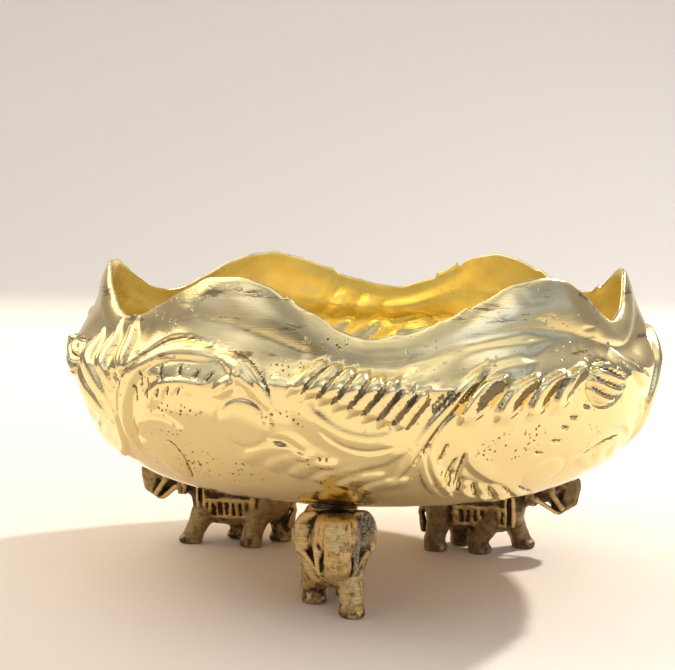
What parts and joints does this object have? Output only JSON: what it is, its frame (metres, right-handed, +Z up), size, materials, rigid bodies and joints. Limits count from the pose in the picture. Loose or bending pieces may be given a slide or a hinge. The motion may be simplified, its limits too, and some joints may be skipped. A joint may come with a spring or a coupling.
{
  "type": "footed bowl",
  "caption": "Round brass urli bowl with a wavy lobed rim and embossed leaf scrolls, standing on cast elephant feet soldered to its underside; it holds water and floating flowers.",
  "frame": {"origin": "on the floor, on the bowl's axis", "axes": "+Z up; -Y is the front, where one elephant faces forward"},
  "size_m": [0.166, 0.166, 0.0874],
  "materials": {
    "polished_brass": "mirror polished cast brass, with fine pits and satin patches",
    "antique_brass": "cast brass with a dark patina, rubbed bright on the raised parts",
    "solder": "dull grey solder with burnt flux"
  },
  "bodies": {
    "root": {"bowl": "polished_brass", "front_elephant_foot": "antique_brass", "left_elephant_foot": "antique_brass", "right_elephant_foot": "antique_brass", "front_solder_joint": "solder", "left_solder_joint": "solder", "right_solder_joint": "solder"}
  },
  "joints": []
}
